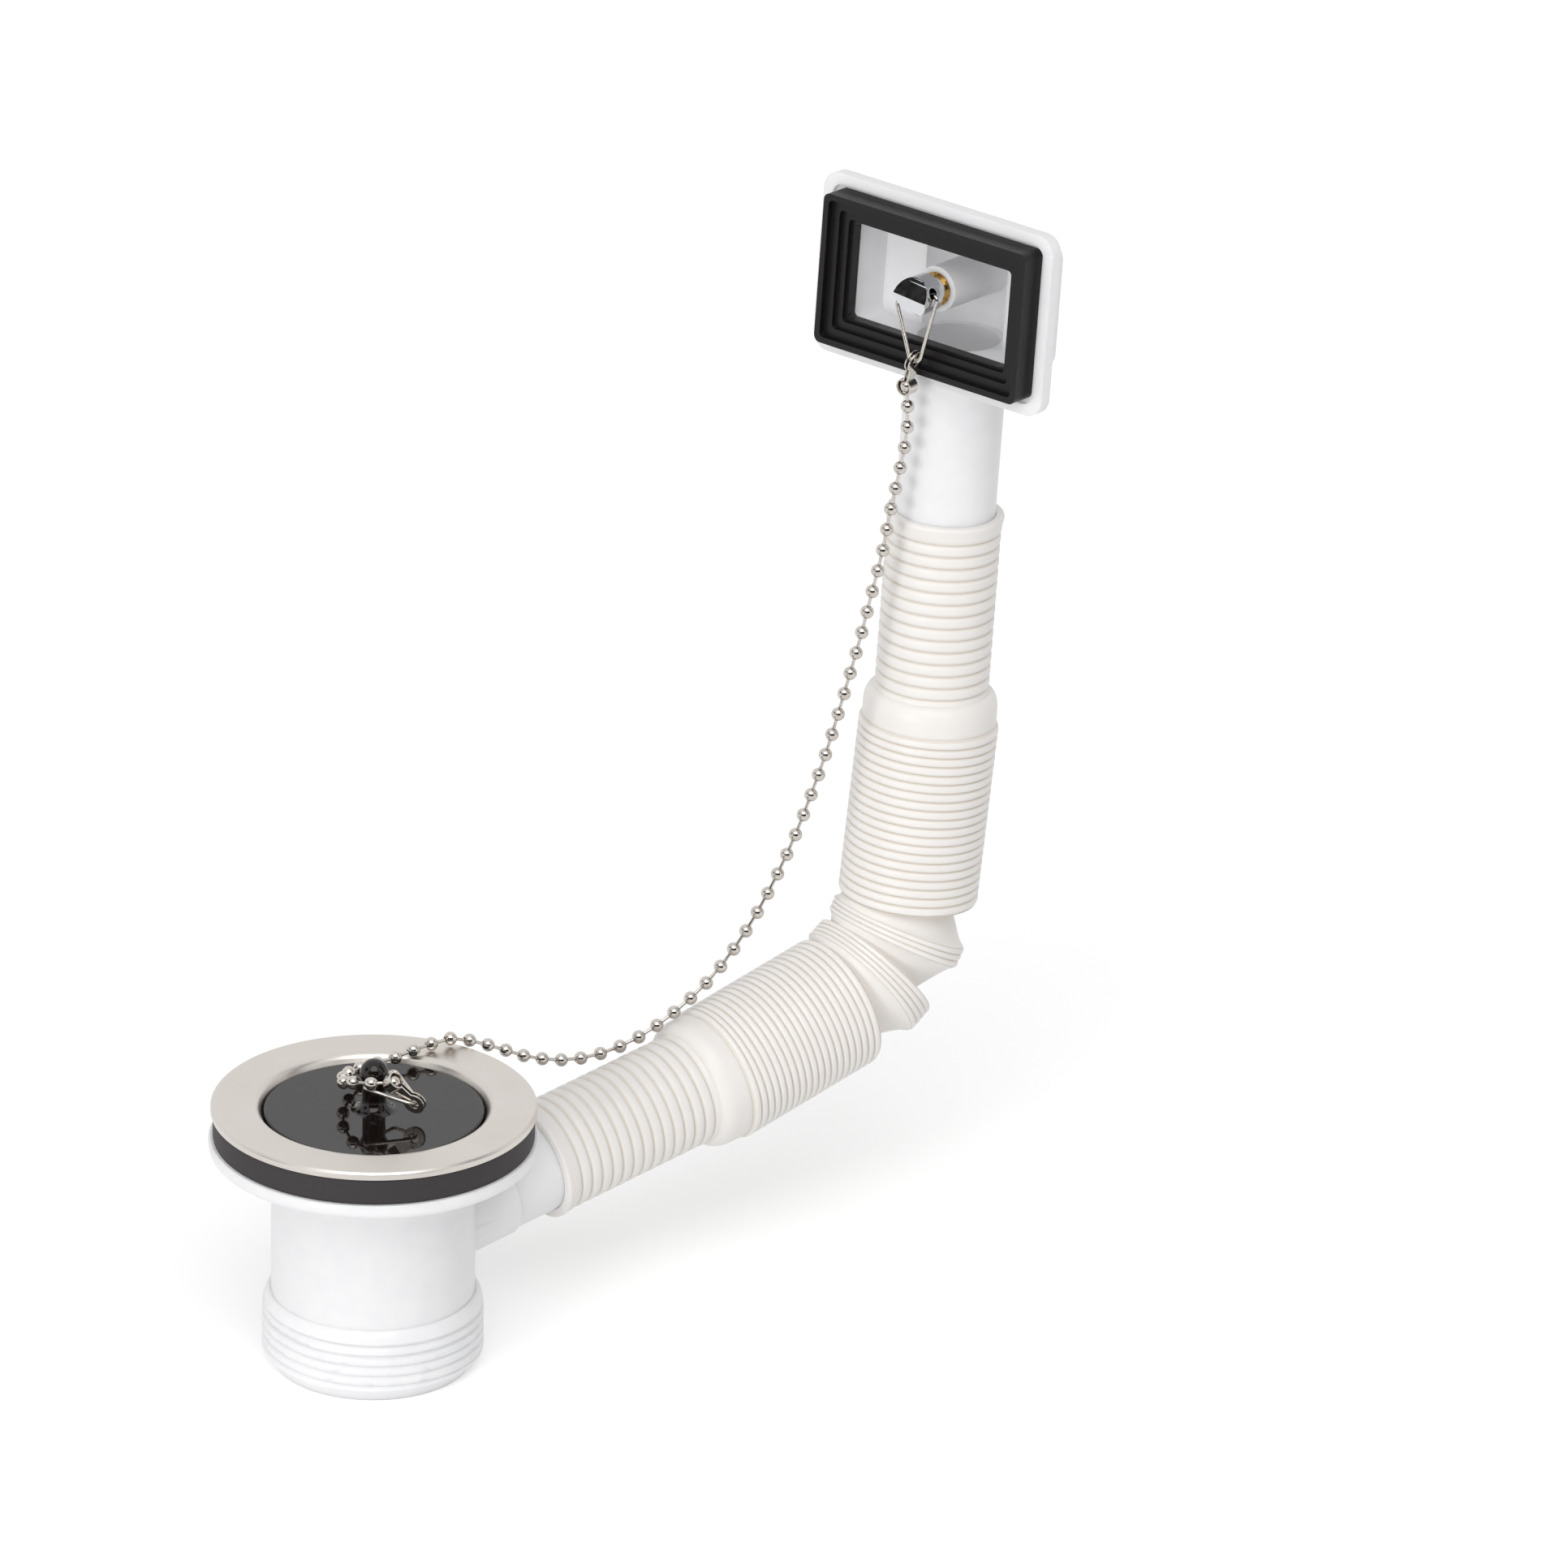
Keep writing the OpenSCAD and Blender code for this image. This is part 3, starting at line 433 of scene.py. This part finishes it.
# Corrugated hose, in mm
hose = {
    "start": (42.388, -24.058),     # mm, X and Z of the end of the lower cuff
    "cuffAngle": 9.7, "lowerAngle": 15, "upperAngle": 83.5, "headAngle": 86.5,
    "bore": 22.2, "cuffRoot": 23.9, "cuffCrest": 25.1,
    "ribs": 14, "ribPitch": 2.78, "lip": 1.2,
    # From the lip to the first groove: distance, height over the crest, depth in a groove
    "lipLine": ((0, 0, 0), (0.12, 0.3, 0), (0.4, 0.42, 0), (0.8, 0.42, 0), (1.5, 0.25, 0),
                (2.6, 0.12, 0), (3.4, 0, 0), (3.75, -0.25, 0.4)),
    "collarD": 29.5, "collarL": 8.6,
    "domeStart": 1.2, "domeL": 3.6, "domeSteps": 8,     # where the cuff widens to the collar
    # The collar's far edge: distance from its end, height over the collar, depth in a groove
    "collarEdge": ((-1.4, 0, 0), (-0.7, 0, 0), (-0.4, -0.1, 0), (-0.2, -0.3, 0.4)),
    "turnL": 3.5,       # on either side of a change of angle, over which the hose turns
    "foldRoot": 29.5, "foldCrest": 30.8, "wideBore": 26.8, "bendBore": 17.6,
    "lowerFolds": 20, "lowerPitch": 1.75, "upperFolds": 20, "upperPitch": 2.05,
    "bunches": (4, 3), "bunchPitch": 1,     # along the route
    "openPitch": 1.35, "openRoot": 30,      # of those folds, which spread at the open side
    "hinge": 19.2,      # from the axis to the line that the bend's folds turn about
    "panelTurn": 20,    # degrees that each open fold turns; the bunches fan out for the rest
    "openDrop": 0.3,    # of an open fold below the others' crests
    "openSteps": 14,
    "hollow": 6,        # how far an open fold starts inside its neighbour's rim
    "roll": 0.16,       # share of an open fold's length that the rolled rim takes
    "boreStart": 1.5,   # from a cuff's last rib to where its bore widens
    "funnelL": 4, "funnelUnder": 0.8,       # of the widening, and how far it ends under the rest
    "wideStart": 7, "wideEnd": 6,           # from the end of a cuff's bore
    "boreStep": 2,
    "bendReach": 3,     # of the narrow bore past the bend's ends
    "sides": 100,
}
# One rib as (share of the pitch, share of its height): a full round band, a narrow groove
ribShape = [(0, 0), (0.05, 0.02), (0.1, 0.5), (0.17, 0.8), (0.28, 0.96), (0.42, 1),
            (0.58, 1), (0.72, 0.96), (0.83, 0.8), (0.9, 0.5), (0.95, 0.02)]


def ribRun(s, count, pitch, root, crest):
    return [(s + (i + p) * pitch, (root + (crest - root) * h) / 2, 1 - h)
            for i in range(count) for p, h in ribShape]


# Cuff and collar as (distance from the lip, radius, depth in a groove from 0 to 1, which sets the painted
# shade)
def cuffLine(h):
    root, crest, collar = h["cuffRoot"] / 2, h["cuffCrest"] / 2, h["collarD"] / 2
    ribsEnd = h["lip"] + h["ribs"] * h["ribPitch"]
    line = [(s, crest + over, g) for s, over, g in h["lipLine"]]
    line += [p for p in ribRun(h["lip"], h["ribs"], h["ribPitch"], h["cuffRoot"], h["cuffCrest"])
             if p[0] > h["lip"] + h["ribPitch"] * 0.99]
    dome = ribsEnd + h["domeStart"]
    line += [(ribsEnd, root, 1), (ribsEnd + 0.25, root + 0.4, 0.4), (ribsEnd + 0.6, crest, 0),
             (dome, crest + 0.05, 0)]
    for k in range(1, h["domeSteps"] + 1):
        a = math.radians(90 * k / h["domeSteps"])
        line.append((dome + h["domeL"] * (1 - math.cos(a)),
                     crest + (collar - crest) * math.sin(a), 0))
    end = ribsEnd + h["collarL"]
    return line + [(end + s, collar + over, g) for s, over, g in h["collarEdge"]], end


# Opened fold in the bend: it comes out from under one rolled rim and flares to the other.
# The last number of each point is how much it is hollowed on the outside of the bend
def openFold(s, length, h, flaresUp):
    crest = h["foldCrest"] / 2 - h["openDrop"]
    line = []
    for k in range(h["openSteps"] + 1):
        t = k / h["openSteps"]
        roll = min(1, t / h["roll"])
        hollow = h["hollow"] * math.sqrt(1 - (1 - roll) ** 2) * (1 - t) ** 0.7
        at = t if flaresUp else 1 - t
        line.append((s + (0.01 + 0.98 * at) * length, crest, 0.5 * hollow / h["hollow"], hollow))
    return line if flaresUp else line[::-1]


# Sets out the hose: route as (distance, x, z), tilts as (distance, angle), and its outside line
def setOutHose(h):
    kinks = len(h["bunches"]) + 1
    kinkAngle = (h["upperAngle"] - h["lowerAngle"]) / kinks
    kinkL = 2 * h["hinge"] * math.sin(math.radians(kinkAngle / 2))
    line, cuffEnd = cuffLine(h)
    runs = [(h["cuffAngle"], cuffEnd), (h["lowerAngle"], h["lowerFolds"] * h["lowerPitch"])]
    s = cuffEnd
    line += ribRun(s, h["lowerFolds"], h["lowerPitch"], h["foldRoot"], h["foldCrest"])
    s += runs[1][1]
    tilts = [(0, h["cuffAngle"]), (cuffEnd - h["turnL"], h["cuffAngle"]),
             (cuffEnd + h["turnL"], h["lowerAngle"]), (s, h["lowerAngle"])]
    angle = tilt = h["lowerAngle"]
    fan = (kinkAngle - h["panelTurn"]) * kinks / sum(h["bunches"])      # of one fold in a bunch
    bend = [s, s]
    panelL = kinkL - sum(h["bunches"]) * (h["openPitch"] - h["bunchPitch"]) / kinks
    for k in range(kinks):
        runs.append((angle + kinkAngle / 2, kinkL))
        angle += kinkAngle
        line += openFold(s, panelL, h, k < kinks - 1)
        s, tilt = s + panelL, tilt + h["panelTurn"]
        tilts.append((s, tilt))
        if k < kinks - 1:
            count = h["bunches"][k]
            runs.append((angle, count * h["bunchPitch"]))
            line += ribRun(s, count, h["openPitch"], h["openRoot"], h["foldCrest"])
            s += count * h["openPitch"]
            tilt += fan * count
            tilts.append((s, tilt))
    bend[1] = s
    line += ribRun(s, h["upperFolds"], h["upperPitch"], h["foldRoot"], h["foldCrest"])
    runs.append((angle, h["upperFolds"] * h["upperPitch"]))
    s += runs[-1][1]
    runs.append((h["headAngle"], cuffEnd))
    tilts += [(s - h["turnL"], angle), (s + h["turnL"], h["headAngle"]),
              (s + cuffEnd, h["headAngle"])]
    upper, _ = cuffLine(h)
    line += [(s + cuffEnd - p, r, g) for p, r, g in reversed(upper)]
    route = [(0, *h["start"])]
    for a, length in runs:
        at, x, z = route[-1]
        route.append((at + length, x + length * math.cos(math.radians(a)),
                      z + length * math.sin(math.radians(a))))
    return route, tilts, line, bend


def between(table, s, column):
    for a, b in zip(table, table[1:]):
        if s <= b[0]:
            t = (s - a[0]) / (b[0] - a[0])
            return a[column] + t * (b[column] - a[column])
    return table[-1][column]


def makeHose(h):
    route, tilts, outside, bend = setOutHose(h)
    total = route[-1][0]
    boreEnd = h["lip"] + h["ribs"] * h["ribPitch"] + h["boreStart"]
    bore, wide = h["bore"] / 2, h["wideBore"] / 2
    funnel = h["funnelL"], wide - h["funnelUnder"]
    inside = [(0, bore, 0), (boreEnd, bore, 0), (boreEnd + funnel[0], funnel[1], 0)]
    s = boreEnd + h["wideStart"]
    while s < total - boreEnd - h["wideEnd"]:
        inBend = bend[0] - h["bendReach"] < s < bend[1] + h["bendReach"]
        inside.append((s, h["bendBore"] / 2 if inBend else wide, 0))
        s += h["boreStep"]
    inside += [(total - boreEnd - funnel[0], funnel[1], 0), (total - boreEnd, bore, 0),
               (total, bore, 0)]
    bm = bmesh.new()
    # groove depth of each vertex, which the material paints as shade in the folds
    depth = bm.verts.layers.float.new("groove")
    rings = []
    for s, r, g, *hollow in outside + inside[::-1]:
        x, z = between(route, s, 1), between(route, s, 2)
        a = math.radians(between(tilts, s, 1))
        ring = []
        for i in range(h["sides"]):
            b = 2 * math.pi * i / h["sides"]
            here = r - (hollow[0] * math.sqrt(0.5 - 0.5 * math.sin(b)) if hollow else 0)
            across, up = here * math.cos(b), here * math.sin(b)
            v = bm.verts.new(((x - up * math.sin(a)) * mm, across * mm, (z + up * math.cos(a)) * mm))
            v[depth] = g
            ring.append(v)
        rings.append(ring)
    skin(bm, rings, closed=True)
    piece = newPiece("corrugatedHose", bm, blownPolyethylene, 70)
    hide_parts("overflow_hose")
    print("hose made,", len(piece.data.polygons), "faces")


makeHose(hose)


chain = {
    "ball": 3.0, "pitch": 4.75, "wire": 0.8,    # mm
    "hole": 1.1,                # in a ball, where the wire goes in
    "insert": 0.5,              # of the wire inside a ball
    "arcSteps": 14, "sides": 20, "wireSides": 12,
    # Middles of its end balls and the route between, as in the model's own source
    "route": [
        (135.38, -4.9, 137.99),
        (135.6, -5, 127.6), (134.3, -4.4, 118.4), (132.5, -3.8, 109.1), (130.8, -3.5, 99.6),
        (128.5, -3.1, 90.4), (126.2, -2.7, 81.1), (123.7, -2.2, 72.1), (121, -1.8, 63),
        (118.2, -1.3, 54), (115, -0.7, 45.2), (111.5, -0.1, 36.5), (107.4, 0.6, 28),
        (102.8, 1.3, 20), (97.6, 2.2, 12.6), (91.4, 3.3, 5.7), (84, 4.7, 0),
        (75.7, 6, -4.4), (66.5, 7.6, -6.9), (57.4, 9.1, -6.9), (48.1, 10.7, -4.3),
        (39.6, 12.2, -0.1), (31.4, 13.8, 3.3), (26.7, 14.4, 3.4), (22, 14.4, 3.3),
        (17.2, 14.4, 2.8), (12.4, 14.3, 2.6), (7.7, 14.3, 2.7), (3.3, 12.9, 3.2),
        (-0.6, 10.2, 4.2), (-4.1, 5.8, 5.4), (-4.9, 0.8, 7.4), (-3.3, -3.2, 8.3),
        (0.47, -6.46, 8.83),
    ],
    "steps": 6,
}


# Smooth line through the stops of a route
def smoothLine(stops, steps):
    p = [Vector(s) for s in stops]
    p = [p[0]] + p + [p[-1]]
    line = []
    for a, b, c, d in zip(p, p[1:], p[2:], p[3:]):
        for k in range(steps):
            t = k / steps
            line.append(0.5 * (2 * b + (c - a) * t + (2 * a - 5 * b + 4 * c - d) * t ** 2
                               + (3 * b - a - 3 * c + d) * t ** 3))
    return line + [p[-1]]


def makeChain(c):
    line = smoothLine(c["route"], c["steps"])
    marks = [0]
    for a, b in zip(line, line[1:]):
        marks.append(marks[-1] + (b - a).length)
    length = marks[-1]
    count = round(length / c["pitch"])
    table = [(m, *p) for m, p in zip(marks, line)]
    balls = [Vector([between(table, length * i / count, k) for k in (1, 2, 3)])
             for i in range(count + 1)]
    r, hole = c["ball"] / 2, c["hole"] / 2
    edge = math.asin(hole / r)
    mouth = -r * math.cos(edge)
    ballShape = [(mouth + 0.25, hole - 0.08), (mouth + 0.04, hole - 0.06)]     # turned-in edge
    for k in range(c["arcSteps"] + 1):
        a = edge + (math.pi - 2 * edge) * k / c["arcSteps"]
        ballShape.append((-r * math.cos(a), r * math.sin(a)))
    ballShape += [(-h, q) for h, q in ballShape[1::-1]]
    bm = bmesh.new()
    for i, ball in enumerate(balls):
        ahead, behind = balls[min(i + 1, count)], balls[max(i - 1, 0)]
        turnProfile(bm, ball, ahead - behind, ballShape, c["sides"])
    w, inBall, atBall = c["wire"] / 2, r - c["insert"], r - 0.05
    for a, b in zip(balls, balls[1:]):
        gap = (b - a).length
        turnProfile(bm, a, b - a, [(inBall, w), (atBall, w), (gap / 2, w * 0.9),
                                   (gap - atBall, w), (gap - inBall, w)], c["wireSides"])
    piece = newPiece("ballChain", bm, nickelPlate, 50)
    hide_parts("chain_balls", "chain_links")
    print("chain made,", count + 1, "balls on", round(length, 1), "mm")


makeChain(chain)


# White for the camera and in mirrors, plain soft light for everything else
def seenDirectly(tree):
    path = addNode(tree, "ShaderNodeLightPath")
    both = addNode(tree, "ShaderNodeMath", {"operation": "MAXIMUM"},
                   {0: path.outputs["Is Camera Ray"], 1: path.outputs["Is Glossy Ray"]})
    return addNode(tree, "ShaderNodeMath", {"operation": "MAXIMUM"},
                   {0: both.outputs[0], 1: path.outputs["Is Transmission Ray"]}).outputs[0]


studio = {
    "worldLight": 0.52,
    "lamps": {      # strength, angle across in degrees, where it comes from
        "key": (1.15, 50, (-0.55, -0.75, 1.15)),
        "fill": (0.95, 20, (-1, -0.4, 0.12)),
    },
    "floorLift": 0.3,      # added where the floor is seen, so that it shows white
    "floorColor": "#F4F4F4",
    "floorSize": 16,       # m
    "floorGap": 0.05,      # mm, below the object
    # Dark flags round the camera and overhead, that only show as reflections in metal and gloss:
    # direction from the object, distance, width and height in m
    "flags": [((-0.55, -0.73, 0.12), 3.4, 7, 3.2), ((0.75, -0.6, 0.55), 2.2, 0.5, 2.2),
              ((-0.82, 0.36, 0.44), 2.2, 0.9, 0.8)],
    "flagColor": "#1C1B1B",
}

world = bpy.data.worlds.new("studio")
bpy.context.scene.world = world
world.use_nodes = True
tree = world.node_tree
tree.nodes.clear()
soft = addNode(tree, "ShaderNodeBackground", {"Color": (1, 1, 1, 1), "Strength": studio["worldLight"]})
white = addNode(tree, "ShaderNodeBackground", {"Color": (1, 1, 1, 1), "Strength": 1})
mix = addNode(tree, "ShaderNodeMixShader", {},
              {0: seenDirectly(tree), 1: soft.outputs[0], 2: white.outputs[0]})
addNode(tree, "ShaderNodeOutputWorld", {}, {"Surface": mix.outputs[0]})

floorPaper = bpy.data.materials.new("floorPaper")
floorPaper.use_nodes = True
tree = floorPaper.node_tree
tree.nodes.clear()
paper = addNode(tree, "ShaderNodeBsdfDiffuse", {"Color": linear(studio["floorColor"])})
lift = addNode(tree, "ShaderNodeMath", {"operation": "MULTIPLY", 1: studio["floorLift"]},
               {0: seenDirectly(tree)})
glow = addNode(tree, "ShaderNodeEmission", {"Color": (1, 1, 1, 1)}, {"Strength": lift.outputs[0]})
both = addNode(tree, "ShaderNodeAddShader", {}, {0: paper.outputs[0], 1: glow.outputs[0]})
addNode(tree, "ShaderNodeOutputMaterial", {}, {"Surface": both.outputs[0]})



# Flat sheet that faces along its turn's Z axis, and isn't part of the object
def setSheet(name, place, turn, width, height, material):
    bm = bmesh.new()
    bm.faces.new([bm.verts.new(place + turn @ Vector((x * width / 2, y * height / 2, 0)))
                  for x, y in ((-1, -1), (1, -1), (1, 1), (-1, 1))])
    mesh = bpy.data.meshes.new(name)
    bm.to_mesh(mesh)
    bm.free()
    mesh.materials.append(material)
    sheet = bpy.data.objects.new(name, mesh)
    bpy.context.scene.collection.objects.link(sheet)
    return sheet


level = cadBox[0][2] - studio["floorGap"] * mm
setSheet("floor", Vector((0, 0, level)), Matrix.Identity(3),
         studio["floorSize"], studio["floorSize"], floorPaper)

flagCloth = bpy.data.materials.new("flagCloth")
flagCloth.use_nodes = True
cloth = flagCloth.node_tree.nodes["Principled BSDF"]
cloth.inputs["Base Color"].default_value = linear(studio["flagColor"])
cloth.inputs["Roughness"].default_value = 1
middle = (Vector(cadBox[0]) + Vector(cadBox[1])) / 2
for i, (toward, distance, width, height) in enumerate(studio["flags"]):
    toward = Vector(toward).normalized()
    flag = setSheet(f"flag{i + 1}", middle + toward * distance,
                    toward.to_track_quat("Z", "Y").to_matrix(), width, height, flagCloth)
    for ray in ("camera", "diffuse", "shadow", "transmission", "volume_scatter"):
        setattr(flag, "visible_" + ray, False)

for name, (strength, angle, source) in studio["lamps"].items():
    sun = bpy.data.objects.new(name, bpy.data.lights.new(name, "SUN"))
    sun.data.energy = strength
    sun.data.angle = math.radians(angle)
    sun.rotation_mode = "QUATERNION"
    sun.rotation_quaternion = Vector(source).to_track_quat("Z", "Y")
    bpy.context.scene.collection.objects.link(sun)

bpy.context.scene.view_settings.view_transform = "Standard"
print("studio set")
